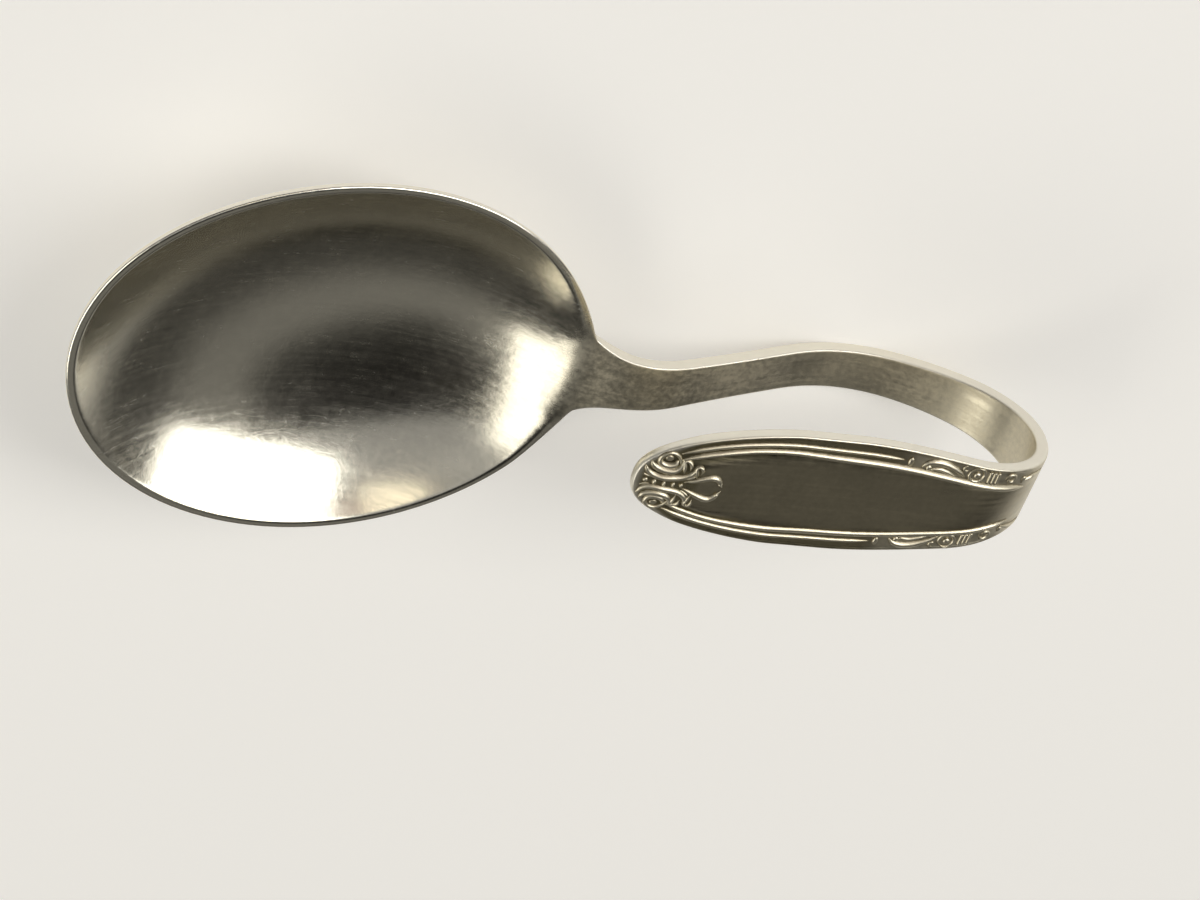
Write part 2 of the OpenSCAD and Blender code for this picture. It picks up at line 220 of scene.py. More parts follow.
def formed(x, y, part):
    s = x - neckX
    if s >= strip["rise"]:
        n = part * strip["thickness"] / 2
        if part < 0:
            n -= part * faceDrop(s, y)
        return stripPoint(s, y, n)
    rise = math.radians(strip["riseAngle"])
    if s > 0:
        x = neckX + s * math.cos(rise)
    lean = rise * max(0, min(1, (x - neckX) / (neckEnd - neckX)))
    n = part * strip["thickness"] / 2 / math.cos(rise - lean)
    dish = mix(outsideHeight(x, y), insideHeight(x, y), (part + 1) / 2)
    slope = strip["neckHeight"] + (x - neckX) * math.tan(rise)
    m = neckBlend(x)
    return mix(x, x - n * math.sin(lean), m), y, mix(dish, slope + n * math.cos(lean), m)


def atRest(x, y, z):
    tilt = math.radians(rest["tilt"])
    return Vector((x * math.cos(tilt) + z * math.sin(tilt) - rest["alongX"], y,
                   z * math.cos(tilt) - x * math.sin(tilt) - rest["upZ"])) * mm


# The blank's mesh: lines follow its edges, close together where these are rounded
blankMesh = {"rings": [0.34, 0.46, 0.56, 0.63, 0.69, 0.75, 0.82, 0.92, 1.06, 1.28, 1.6, 2.1, 2.7], "innerRings": 24,
             "roundSteps": 172, "bunching": 0.72,  # the bowl's spokes, bunched towards the corners of the neck
             "rowStep": 0.4, "neckRows": 8, "neckRowsTo": 0.85, "tipRows": 26, "bowFrom": 82, "bowTo": 93.4,
             "cornerSpread": 1.5, "cornerFade": (4, 3),  # how the lines of side and tip spread where they meet
             "tipSmoothing": 160,
             "panelColumns": [0.4, 0.48, 0.6, 0.75, 0.95, 1.2, 1.5, 1.8, 2.1, 2.4, 2.75, 3.2, 3.7, 4.25, 4.85, 5.45,
                              6.05, 6.65],
             "fineColumns": 10, "fineHalf": 4.2}  # the first columns keep their places where the half is this wide


def roundingRadius(x):
    radius = mix(bowl["rimRound"], strip["stemRound"], neckBlend(x))
    radius = mix(radius, strip["panelRound"], ease(x - neckX, strip["panelRun"]))
    return mix(radius, strip["tipEdgeRound"], ease(x - neckX, strip["tipRun"]))


def roundingInsets(radius):  # where the lines of the mesh lie on a rounded edge, a sixteenth of a turn apart
    return [radius * (1 - math.cos(k * math.pi / 8)) for k in range(5)]


def columnPlaces(halfWidth, s):
    edge, wanted = roundingInsets(roundingRadius(neckX + s)), blankMesh["panelColumns"]
    even = [mix(edge[-1], halfWidth, (k + 1) / len(wanted)) for k in range(len(wanted))]
    tight = min(1, halfWidth / blankMesh["fineHalf"])
    last = wanted[blankMesh["fineColumns"] - 1]
    panel = [edge[-1] + (a - strip["panelRound"]) * tight for a in wanted if a <= last]
    panel += [mix(panel[-1], halfWidth, (a - last) / (wanted[-1] - last)) for a in wanted if a > last]
    near = [halfWidth - a for a in edge + [mix(a, b, ease(s, strip["panelRun"])) for a, b in zip(even, panel)]]
    return [-y for y in near] + near[-2::-1]


def selectWhere(mesh, kind, test):
    bpy.ops.object.mode_set(mode="EDIT")
    bpy.ops.mesh.select_mode(type=kind)
    bpy.ops.mesh.select_all(action="DESELECT")
    shape = bmesh.from_edit_mesh(mesh)
    for part in {"VERT": shape.verts, "EDGE": shape.edges}[kind]:
        if test(part):
            part.select = True
    shape.select_flush_mode()
    bmesh.update_edit_mesh(mesh)


def flatGrid(name, along, across, place):
    bpy.ops.object.select_all(action="DESELECT")
    bpy.ops.mesh.primitive_grid_add(x_subdivisions=along, y_subdivisions=across, size=2)
    grid = bpy.context.object
    grid.name = name
    cells = [(round((v.co.x + 1) / 2 * along), round((v.co.y + 1) / 2 * across)) for v in grid.data.vertices]
    for v in grid.data.vertices:
        v.co = place(*cells[v.index])
    return grid, cells


# The blank's bowl: rings inside its outline, and spokes, the first of which carry on from the neck's columns
neckColumns = columnPlaces(strip["neckWidth"] / 2, 0)
spokes = [0 for y in neckColumns]
for _ in range(8):  # the outline is a little narrower towards the neck, so each angle is worked out in steps
    spokes = [math.asin(y / (bowl["width"] / 2 * eggShape(bowl["length"] / 2 * math.cos(spoke))))
              for y, spoke in zip(neckColumns, spokes)]
ringInsets = roundingInsets(bowl["rimRound"]) + blankMesh["rings"]
lastNeckSpoke = spokes[-1]
for k in range(1, blankMesh["roundSteps"] + 1):
    t = k / blankMesh["roundSteps"]
    t -= blankMesh["bunching"] * math.sin(2 * math.pi * t) / (2 * math.pi)
    spokes.append(mix(lastNeckSpoke, 2 * math.pi + spokes[0], t))
ringCount = len(ringInsets) - 1 + blankMesh["innerRings"]


def bowlPlace(ring, spoke):
    inset = ringInsets[min(ring, len(ringInsets) - 1)]
    share = 1 - max(0, ring - len(ringInsets) + 1) / blankMesh["innerRings"]
    x = (bowl["length"] / 2 - inset) * share * math.cos(spokes[spoke])
    return x, (bowl["width"] / 2 - inset) * share * math.sin(spokes[spoke]) * eggShape(x), 0


# The blank's strip: straight rows and columns, whose outer layers bow round to follow the edge at the tip
tipLine = tipPlaces(600)
runs = [0]  # each place's distance along the edge
for (s, y), (nextS, nextY) in zip(tipLine, tipLine[1:]):
    runs.append(runs[-1] + math.hypot(nextS - s, nextY - y))


def runAt(s):
    k = max(0, min(len(runs) - 2, bisect.bisect([place[0] for place in tipLine], s) - 1))
    return mix(runs[k], runs[k + 1], (s - tipLine[k][0]) / (tipLine[k + 1][0] - tipLine[k][0]))


def besideEdge(run, inset):  # a place at some distance along the tip's edge and some way in from it
    k = max(0, min(len(runs) - 2, bisect.bisect(runs, run) - 1))
    (s, y), (nextS, nextY) = tipLine[k], tipLine[k + 1]
    length = runs[k + 1] - runs[k]
    t = (run - runs[k]) / length
    return mix(s, nextS, t) + inset * (nextY - y) / length, mix(y, nextY, t) - inset * (nextS - s) / length


tipInsets = roundingInsets(strip["panelRound"])
layers = len(tipInsets) - 1
spread, bowFrom, bowTo = blankMesh["cornerSpread"], blankMesh["bowFrom"], blankMesh["bowTo"]
cornerRun = runAt(bowTo)
tailRows = [besideEdge(cornerRun - spread * inset, 0)[0] for inset in reversed(tipInsets)]
neckRows = blankMesh["neckRows"]
rowPlaces = [strip["rise"] * blankMesh["neckRowsTo"] * k / neckRows for k in range(neckRows + 1)]
rowCount = round((bowFrom - rowPlaces[-1]) / blankMesh["rowStep"])
rowPlaces += [mix(rowPlaces[-1], bowFrom, k / rowCount) for k in range(1, rowCount + 1)]
rowPlaces += [mix(bowFrom, tailRows[0], k / blankMesh["tipRows"]) for k in range(1, blankMesh["tipRows"])] + tailRows
rowColumns = [columnPlaces(stripHalfWidth(s), s) for s in rowPlaces]
lastRow, middleColumn = len(rowPlaces) - 1, len(neckColumns) // 2
endRuns = [cornerRun + spread * inset for inset in tipInsets]
for column in range(layers + 1, middleColumn + 1):
    endRuns.append(mix(endRuns[layers], runs[-1], (column - layers) / (middleColumn - layers)))


def tipPlace(s, y, inward, tipward):  # inward and tipward count the lines from the side and from the tip
    if inward <= min(layers, tipward):
        run = runAt(s)
        run += spread * tipInsets[inward] * smooth(1 - (cornerRun - run) / blankMesh["cornerFade"][0])
        return besideEdge(run, tipInsets[inward])
    if tipward <= layers:
        run = endRuns[inward]
        run -= spread * tipInsets[tipward] * smooth(1 - (run - cornerRun) / blankMesh["cornerFade"][1])
        return besideEdge(run, tipInsets[tipward])
    bulge, share = besideEdge(endRuns[inward], 0), (s - bowFrom) / (bowTo - bowFrom)
    return mix(s, s + bulge[0] - bowTo, share ** 1.5), mix(abs(y), bulge[1], share * share)


def stripPlace(row, column):
    s, y = rowPlaces[row], rowColumns[row][column]
    if row <= neckRows:  # the first rows straighten the rim's arc
        rimX = bowl["length"] / 2 * math.cos(spokes[column])
        return mix(rimX, neckX + rowPlaces[neckRows], row / neckRows), y, 0
    if s <= bowFrom:
        return neckX + s, y, 0
    side = -1 if column < middleColumn else 1
    s, y = tipPlace(s, y, middleColumn - abs(column - middleColumn), lastRow - row)
    return s + neckX, side * y, 0


blankBowl, _ = flatGrid("blankBowl", ringCount, len(spokes) - 1, bowlPlace)
blankStrip, cells = flatGrid("blankStrip", lastRow, len(neckColumns) - 1, stripPlace)
selectWhere(blankStrip.data, "VERT", lambda v: v.co.x > neckX + bowFrom + 0.1 and cells[v.index][0] < lastRow - layers
            and abs(cells[v.index][1] - middleColumn) < middleColumn - layers)
bpy.ops.mesh.vertices_smooth(factor=0.5, repeat=blankMesh["tipSmoothing"])
bpy.ops.object.mode_set(mode="OBJECT")
bpy.ops.object.select_all(action="DESELECT")
blankBowl.select_set(True)
blankStrip.select_set(True)
bpy.context.view_layer.objects.active = blankBowl
bpy.ops.object.join()
spoon = bpy.context.object
spoon.name = "forgedSpoon"
bpy.ops.object.mode_set(mode="EDIT")
bpy.ops.mesh.select_all(action="SELECT")
bpy.ops.mesh.remove_doubles(threshold=0.002)
bpy.ops.object.mode_set(mode="OBJECT")
for v in spoon.data.vertices:
    v.co.y *= filletShare(v.co.x)

# How far each point of the blank lies from its outline, measured to short pieces of it
selectWhere(spoon.data, "EDGE", lambda edge: edge.is_boundary)
bpy.ops.object.mode_set(mode="OBJECT")
outline = [[spoon.data.vertices[k].co.copy() for k in edge.vertices] for edge in spoon.data.edges if edge.select]
pieces = 16
nearest = KDTree(len(outline) * pieces)
for k, (a, b) in enumerate(outline):
    for j in range(pieces):
        nearest.insert(a.lerp(b, (j + 0.5) / pieces), k)
nearest.balance()


def edgeInset(place):
    inset = math.inf
    for _, k, _ in nearest.find_n(place, 4):
        a, b = outline[k]
        along = max(0, min(1, (place - a).dot(b - a) / (b - a).length_squared))
        inset = min(inset, (place - a.lerp(b, along)).length)
    return inset


insets = [edgeInset(v.co) for v in spoon.data.vertices]
bpy.ops.object.mode_set(mode="EDIT")
bpy.ops.mesh.select_mode(type="VERT")
bpy.ops.mesh.select_all(action="SELECT")
bpy.ops.mesh.extrude_region_move(TRANSFORM_OT_translate={"value": (0, 0, 1)})
bpy.ops.mesh.select_all(action="SELECT")
bpy.ops.mesh.normals_make_consistent(inside=False)
bpy.ops.object.mode_set(mode="OBJECT")
insets += insets  # the extrusion's points come in the same order
for v, inset in zip(spoon.data.vertices, insets):  # both faces fall away in a quarter circle at the edge
    radius = roundingRadius(v.co.x)
    away = max(0, radius - inset)
    half = blankThickness(v.co.x) / 2 - radius + math.sqrt(radius * radius - away * away)
    v.co.z = half if v.co.z > 0.5 else -half
print("blank:", len(spoon.data.vertices), "points", len(spoon.data.polygons), "faces")

# The blank's own coordinates stay on the mesh, so that scratches can follow the metal round its bends.
# Patina is 0 on bare metal, 0.6 on the panel and 1 between the threads. The rubbed mask is 1 on the edges, whose
# lighter colour is partly wear from hands and partly a painted highlight.
toning = {"panel": (53, 9), "tip": (90.5, 3), "noGroupFrom": 90,
          "rubbedAndHighlightFrom": (0.05, 0.02), "rubbedAndHighlightReach": (0.25, 0.15, 0.6),  # on the stem, the panel and the tip
          "field": (2.2, 0.3), "fieldPatina": 0.6,
          "groupFrom": (52, 4), "groupTo": 72.5, "groupFade": 3, "groupPaler": 0.9,  # cloths reach into the side group
          "patinaFrom": (0.1, 0.35), "patinaReach": (0.2, 0.45)}  # in from the edge, on the panel and the tip


# Where the edges take a lighter colour, the bowl's rim too: partly rubbed wear, partly a painted highlight on the
# rounded edges
def rubbedEdgeAndHighlightAt(s, inset):
    onPanel, onTip = ease(s, toning["panel"]), ease(s, toning["tip"])
    stemReach, panelReach, tipReach = toning["rubbedAndHighlightReach"]
    reach = mix(mix(stemReach, panelReach, onPanel), tipReach, onTip)
    return 1 - smooth((inset - mix(*toning["rubbedAndHighlightFrom"], onPanel)) / reach)


def patinaAt(s, inset):
    onTip, field = ease(s, toning["tip"]), ease(inset, toning["field"])
    sideGroup = ease(s, toning["groupFrom"]) * smooth((toning["groupTo"] - s) / toning["groupFade"]) * (1 - field)
    depth = 1
    if s < toning["noGroupFrom"]:
        depth = mix(1, toning["fieldPatina"], field) * (1 - toning["groupPaler"] * sideGroup)
    inwards = smooth((inset - mix(*toning["patinaFrom"], onTip)) / mix(*toning["patinaReach"], onTip))
    return depth * inwards * ease(s, toning["panel"])


spoon.data.attributes.new("blank", "FLOAT_VECTOR", "POINT")
spoon.data.attributes.new("patina", "FLOAT", "POINT")
spoon.data.attributes.new("rubbedEdgeAndHighlight", "FLOAT", "POINT")
flatPlace, patina, rubbedEdgeAndHighlight = [spoon.data.attributes[name] for name in ("blank", "patina", "rubbedEdgeAndHighlight")]
for v, inset in zip(spoon.data.vertices, insets):
    flatPlace.data[v.index].vector = v.co * mm
    rubbedEdgeAndHighlight.data[v.index].value = rubbedEdgeAndHighlightAt(v.co.x - neckX, inset)
    part = max(-1, min(1, v.co.z / (blankThickness(v.co.x) / 2)))
    if part < 0:
        patina.data[v.index].value = patinaAt(v.co.x - neckX, inset)
    v.co = atRest(*formed(v.co.x, v.co.y, part))
bpy.ops.object.mode_set(mode="EDIT")
bpy.ops.mesh.select_all(action="SELECT")
bpy.ops.mesh.normals_make_consistent(inside=False)
if bmesh.from_edit_mesh(spoon.data).calc_volume(signed=True) < 0:  # so thin a shell can be taken inside out
    bpy.ops.mesh.flip_normals()
bpy.ops.object.mode_set(mode="OBJECT")
bpy.ops.object.shade_smooth()
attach(spoon, "root")
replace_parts(spoon, "bowl", "neck", "stem", "loop_bend", "handle_panel")
print("forged spoon formed")

# The relief is drawn flat, as (distance from the tip, distance from the middle line, width), and struck onto the handle
relief = {"profile": [(-0.5, -0.14), (-0.5, -0.03), (-0.45, 0.05), (-0.38, 0.15), (-0.28, 0.28), (-0.15, 0.39),
                      (0, 0.43), (0.15, 0.39), (0.28, 0.28), (0.38, 0.15), (0.45, 0.05), (0.5, -0.03), (0.5, -0.14)],
          "steps": 5, "crest": 0.2}  # across a ridge of width 1, and the height from which it counts as rubbed bright


def reliefPlace(d, y, h):
    s = strip["length"] - d
    radius = roundingRadius(neckX + s)
    away = max(0, min(radius, radius - insetOf(s, y) if stripHalfWidth(s) > abs(y) else radius))
    rounded = radius - math.sqrt(radius * radius - away * away)
    return atRest(*stripPoint(s, y, -strip["thickness"] / 2 + faceDrop(s, y) + rounded - h))


bpy.ops.curve.primitive_bezier_circle_add(radius=1)
strokeProfile = bpy.context.object
strokeProfile.name = "strokeProfile"
strokeProfile.data.splines.clear()
profileLine = strokeProfile.data.splines.new("POLY")
profileLine.points.add(len(relief["profile"]) - 1)
for point, (across, up) in zip(profileLine.points, relief["profile"]):
    point.co = (across, up, 0, 1)
profileLine.use_cyclic_u = True


def stroke(path):
    bpy.ops.object.select_all(action="DESELECT")
    bpy.ops.curve.primitive_nurbs_path_add()
    line = bpy.context.object
    line.data.splines.clear()
    run = line.data.splines.new("NURBS")
    run.points.add(len(path) - 1)
    for point, (d, y, width) in zip(run.points, path):
        point.co = (d, y, 0, 1)
        point.radius = width
    run.order_u = 3
    run.use_endpoint_u = True
    run.resolution_u = relief["steps"]
    line.data.twist_mode = "Z_UP"
    line.data.bevel_mode = "OBJECT"
    line.data.bevel_object = strokeProfile
    line.data.use_fill_caps = True
    bpy.ops.object.convert(target="MESH")
    return bpy.context.object


def ball(d, y, length, width, height):
    bpy.ops.object.select_all(action="DESELECT")
    bpy.ops.mesh.primitive_uv_sphere_add(segments=20, ring_count=12, radius=0.5)
    bead = bpy.context.object
    for v in bead.data.vertices:
        v.co = (d + v.co.x * length, y + v.co.y * width, v.co.z * 2 * height)
    return bead


def motif(name, parts, hand):  # hand is 1 on the near side and -1 on the far one
    bpy.ops.object.select_all(action="DESELECT")
    for part in parts:
        part.select_set(True)
    bpy.context.view_layer.objects.active = parts[0]
    if len(parts) > 1:
        bpy.ops.object.join()
    piece = bpy.context.object
    piece.name = name
    piece.data.name = name
    crest = piece.data.attributes.new("crest", "FLOAT", "POINT")
    for v in piece.data.vertices:
        crest.data[v.index].value = max(0, min(1, v.co.z / relief["crest"]))
        v.co = reliefPlace(v.co.x, hand * v.co.y, v.co.z)
    bpy.ops.object.mode_set(mode="EDIT")
    bpy.ops.mesh.select_all(action="SELECT")
    bpy.ops.mesh.remove_doubles(threshold=0.000001)
    bpy.ops.mesh.normals_make_consistent(inside=False)
    bpy.ops.object.mode_set(mode="OBJECT")
    bpy.ops.object.shade_smooth()
    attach(piece, "root")
    return piece


# Lines that follow the handle's edge are written with their distance in from it
def onEdge(d, inset):
    return d, stripHalfWidth(strip["length"] - d) - inset


def fromEdge(points):
    return [(*onEdge(d, inset), width) for d, inset, width in points]


threads = {"outer": (3.6, 24.7, (0.96, 1.26), (0.58, 0.5)),  # ends, then inset and width near the tip and further on
           "inner": (3.75, 38, (1.67, 2.2), (0.62, 0.76)), "change": (7, 15), "step": 0.8}


def threadPath(first, last, insets, widths):
    count = round((last - first) / threads["step"])
    path = []
    for k in range(count + 1):
        d = mix(first, last, k / count)
        along = ease(d, threads["change"])
        end = min(1, 0.3 + 0.4 * min(k, count - k))  # drawn to a point
        path.append((d, mix(*insets, along), mix(*widths, along) * end))
    return fromEdge(path)


def scrollPath(eye, radius, first, turn, width, points):  # radius and width change from start to end
    path = []
    for k in range(points):
        t = k / (points - 1)
        a = math.radians(first + turn * t)
        r = mix(*radius, t)
        taper = min(1, 0.2 + 4 * min(t, 1 - t))
        path.append((eye[0] + r * math.cos(a), eye[1] + r * math.sin(a), mix(*width, t) * taper))
    return path


def edgeScroll(eye, *shape):
    return stroke(scrollPath(onEdge(*eye), *shape))


def edgeBall(d, inset, length, width, height):
    return ball(*onEdge(d, inset), length, width, height)


tipScroll = {"line": [(3.84, 2.2, 0.2), (3.7, 2.72, 0.4), (3.3, 3.16, 0.46), (2.74, 3.34, 0.46), (2.24, 3.14, 0.46),
                      (1.88, 2.8, 0.5), (1.78, 2.38, 0.58), (2.04, 2.02, 0.64), (2.58, 1.88, 0.66), (3.1, 1.98, 0.64),
                      (3.46, 2.26, 0.54), (3.42, 2.6, 0.26)],
             "eye": (2.66, 2.7, 0.8, 0.66, 0.16)}
tipLeaves = {
    "upperCrescent": [(1.1, 2.3, 0.14), (1.2, 2.0, 0.5), (1.4, 1.75, 0.66), (1.75, 1.55, 0.76), (2.2, 1.44, 0.82),
                      (2.76, 1.42, 0.84), (3.3, 1.5, 0.78), (3.7, 1.72, 0.64), (3.98, 2.1, 0.5), (4.0, 2.5, 0.4),
                      (3.96, 2.75, 0.16)],
    "lowerCrescent": [(0.66, 1.72, 0.14), (0.8, 1.4, 0.5), (1.02, 1.1, 0.62), (1.3, 0.85, 0.7), (1.7, 0.69, 0.74),
                      (2.2, 0.64, 0.74), (2.85, 0.66, 0.74), (3.5, 0.72, 0.74), (4.1, 0.82, 0.7), (4.64, 1.02, 0.66),
                      (5.08, 1.36, 0.6), (5.28, 1.76, 0.5), (5.28, 2.1, 0.16)],
    "upperCurl": [(4.34, 1.3, 0.1), (4.27, 1.7, 0.44), (4.18, 2.1, 0.58), (4.1, 2.45, 0.5), (4.2, 2.66, 0.4),
                  (4.48, 2.66, 0.46), (4.74, 2.46, 0.48), (4.84, 2.1, 0.34), (4.8, 1.8, 0.1)],
    "lowerCurl": [(5.6, 1.0, 0.1), (5.5, 1.42, 0.44), (5.36, 1.8, 0.54), (5.3, 2.1, 0.46), (5.44, 2.34, 0.38),
                  (5.7, 2.34, 0.44), (5.9, 2.1, 0.44), (5.94, 1.76, 0.3), (5.86, 1.5, 0.1)],
    "lobe": [(0.72, 0.68, 0.1), (0.92, 0.56, 0.34), (1.26, 0.47, 0.34), (1.6, 0.4, 0.1)],
    "leaflet": [(4.5, 0.62, 0.1), (4.9, 0.84, 0.4), (5.3, 1.1, 0.44), (5.5, 1.3, 0.1)]}
tipBeads = {"beads": [(1.1, 0.5, 0.5), (1.9, 0.4, 0.62), (2.78, 0.38, 0.62), (3.66, 0.38, 0.58), (4.42, 0.4, 0.48)],
            "height": 0.24}
tipTendril = {"stem": [(4.6, 0.36, 0.1), (5.2, 0.58, 0.44), (5.9, 0.88, 0.62), (6.55, 1.16, 0.74), (7.15, 1.32, 0.78),
                       (7.62, 1.16, 0.74), (7.92, 0.8, 0.66), (8.12, 0.46, 0.4), (8.3, 0.2, 0.1)],
              "ball": (7.96, 0.66, 0.5, 0.46, 0.28)}
sideBeads = [(25.3, 1.3, 0.6, 1.0, 0.24), (27.2, 1.55, 0.6, 0.66, 0.26), (37.6, 1.2, 0.6, 0.7, 0.18)]
sideTendril = {"leaf": [(26.5, 1.7, 0.14), (26.8, 1.2, 0.56), (27.5, 0.82, 0.76), (28.3, 0.72, 0.82),
                        (29.2, 0.82, 0.78), (30.0, 1.08, 0.66), (30.7, 1.4, 0.5), (31.2, 1.75, 0.14)],
               "vein": [(27.5, 1.7, 0.3), (28.2, 1.46, 0.54), (28.9, 1.5, 0.56), (29.6, 1.7, 0.5), (30.3, 1.9, 0.14)]}
sideRosette = {"ring": ((32.2, 1.12), (0.78, 0.78), 100, 400, (0.42, 0.46), 17),
               "ball": (32.2, 1.12, 0.76, 0.76, 0.3),
               "curl": ((30.95, 0.7), (0.3, 0.26), 60, 270, (0.34, 0.34), 9)}
sideCollar = {"reeds": (33.55, 33.98, 34.41), "across": (0.5, 1.75), "width": 0.42,
              "scroll": ((36.0, 1.15), (0.62, 0.24), 190, -400, (0.46, 0.36), 15),
              "leaf": [(37.4, 1.7, 0.1), (38.0, 1.25, 0.56), (38.9, 0.95, 0.62), (40.4, 0.85, 0.1)]}

for side, hand in (("near", 1), ("far", -1)):
    outer = stroke(threadPath(*threads["outer"]))
    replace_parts(motif(side + "OuterThread", [outer], hand), side + "_outer_thread")
    inner = stroke(threadPath(*threads["inner"]))
    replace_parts(motif(side + "InnerThread", [inner], hand), side + "_inner_thread")
    scroll = [stroke(tipScroll["line"]), ball(*tipScroll["eye"])]
    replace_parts(motif(side + "TipScroll", scroll, hand), side + "_tip_scroll")
    leaves = [stroke(line) for line in tipLeaves.values()]
    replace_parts(motif(side + "TipLeaves", leaves, hand), side + "_tip_leaves")
    tendril = [stroke(tipTendril["stem"]), ball(*tipTendril["ball"])]
    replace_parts(motif(side + "TipTendril", tendril, hand), side + "_tip_tendril")
    beads = [edgeBall(*bead) for bead in sideBeads]
    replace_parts(motif(side + "SideBeads", beads, hand), side + "_side_beads")
    leaf = [stroke(fromEdge(line)) for line in sideTendril.values()]
    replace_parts(motif(side + "SideTendril", leaf, hand), side + "_side_tendril")
    rosette = [edgeScroll(*sideRosette["ring"]), edgeBall(*sideRosette["ball"]), edgeScroll(*sideRosette["curl"])]
    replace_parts(motif(side + "SideRosette", rosette, hand), side + "_side_rosette")
    collar = []
    for d in sideCollar["reeds"]:
        collar.append(stroke(fromEdge([(d, mix(*sideCollar["across"], k / 4), sideCollar["width"]) for k in range(5)])))
    collar += [edgeScroll(*sideCollar["scroll"]), stroke(fromEdge(sideCollar["leaf"]))]
    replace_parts(motif(side + "SideCollar", collar, hand), side + "_side_collar")
beads = [ball(d, 0, length, width, tipBeads["height"]) for d, length, width in tipBeads["beads"]]
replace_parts(motif("tipBeads", beads, 1), "tip_beads")
bpy.data.objects.remove(strokeProfile)
print("relief struck")


def linearColour(code):
    channels = [int(code[k:k + 2], 16) / 255 for k in (1, 3, 5)]
    return [c / 12.92 if c <= 0.04045 else ((c + 0.055) / 1.055) ** 2.4 for c in channels] + [1]


# A Mix node's sockets: 0 is the share, 2 and 3 are the numbers that it mixes, and 6 and 7 the colours
def addNode(tree, kind, settings=None, inputs=None, links=None):
    node = tree.nodes.new(kind)
    for name, value in (settings or {}).items():
        setattr(node, name, value)
    for name, value in (inputs or {}).items():
        node.inputs[name].default_value = value
    for name, source in (links or {}).items():
        tree.links.new(source, node.inputs[name])
    return node


def setRamp(node, stops):
    ramp = node.color_ramp
    while len(ramp.elements) > 1:
        ramp.elements.remove(ramp.elements[-1])
    ramp.elements[0].position, ramp.elements[0].color = stops[0]
    for place, colour in stops[1:]:
        ramp.elements.new(place).color = colour


def grey(value):
    return (value, value, value, 1)


def newMetal(name):
    material = bpy.data.materials.new(name)
    material.use_nodes = True
    shader = material.node_tree.nodes["Principled BSDF"]
    shader.inputs["Metallic"].default_value = 1
    return material, material.node_tree, shader


# Sterling silver, polished by hand: a warm mirror in the bowl, gone satin on the stem, and toned dark on the panel.
# Patterns lie on the flat blank's coordinates in metres, so a noise scale is one over the size of its grain.
# The edge colour is a lighter silver for the rounded edges: partly wear, partly a painted highlight
handPolished = {"bowlColour": "#ddd8c9", "stemColour": "#dcd4be", "edgeWearAndHighlightColour": "#f0ece0", "panelColour": "#cbc8c0",
                "grooveColour": "#b8b4a4", "bowlRoughness": 0.2, "stemRoughness": 0.4, "panelRoughness": 0.3,
                "bowlTo": 0.0205, "stemFrom": 0.0255,
                "streakLength": 0.012, "streakWidth": 0.0004,  # real polishing lines are a twentieth as wide
                "scratchLength": 0.005, "scratchSpacing": 0.0012, "scratchTurns": (24, -37, 71),
                "scratchLine": (0.6, 0.606, 0.612), "grain": 0.0006, "cloud": 0.0045, "cloudShare": 0.45,
                "panelStreaks": 0.45,
                "mottleRun": {"From Min": 0.01, "From Max": 0.06},  # along it, how much of the mottle shows
                "mottleReach": ((0.1, 0.2), (0.29, 0.95), (0.5, 0.9), (0.72, 0.3), (1, 0.4)),
                "mottleShade": {"From Min": 0.4, "From Max": 0.6, "To Min": 0.66, "To Max": 1.1},
                "streakRough": {"From Min": 0.35, "From Max": 0.65, "To Min": 0.88, "To Max": 1.14},
                "mottleRough": {"From Min": 0.35, "From Max": 0.65, "To Min": 0.85, "To Max": 1.2},
                "scratchRough": 0.05,
                "streakBump": {"Strength": 0.05, "Distance": 0.00002},
                "grainBump": {"Strength": 0.5, "Distance": 0.00003},
                "scratchBump": {"Strength": 0.06, "Distance": 0.00002}}

silver, tree, metal = newMetal("handPolishedSilver")
blank = addNode(tree, "ShaderNodeAttribute", {"attribute_name": "blank"}).outputs["Vector"]
toned = addNode(tree, "ShaderNodeAttribute", {"attribute_name": "patina"}).outputs["Fac"]
bright = addNode(tree, "ShaderNodeAttribute", {"attribute_name": "rubbedEdgeAndHighlight"}).outputs["Fac"]
along = addNode(tree, "ShaderNodeSeparateXYZ", links={"Vector": blank}).outputs["X"]
inBowl = addNode(tree, "ShaderNodeMapRange", {"interpolation_type": "SMOOTHSTEP"},
                 {"From Min": handPolished["stemFrom"], "From Max": handPolished["bowlTo"]},
                 {"Value": along}).outputs[0]
grain = addNode(tree, "ShaderNodeTexNoise", inputs={"Scale": 1 / handPolished["grain"], "Detail": 4, "Roughness": 0.6},
                links={"Vector": blank}).outputs["Fac"]
cloud = addNode(tree, "ShaderNodeTexNoise", inputs={"Scale": 1 / handPolished["cloud"], "Detail": 3, "Roughness": 0.55},
                links={"Vector": blank}).outputs["Fac"]
streakPlace = addNode(tree, "ShaderNodeMapping",
                      inputs={"Scale": (1 / handPolished["streakLength"], 1 / handPolished["streakWidth"], 50)},
                      links={"Vector": blank}).outputs[0]
streaks = addNode(tree, "ShaderNodeTexNoise", inputs={"Scale": 1, "Detail": 3, "Roughness": 0.6},
                  links={"Vector": streakPlace}).outputs["Fac"]

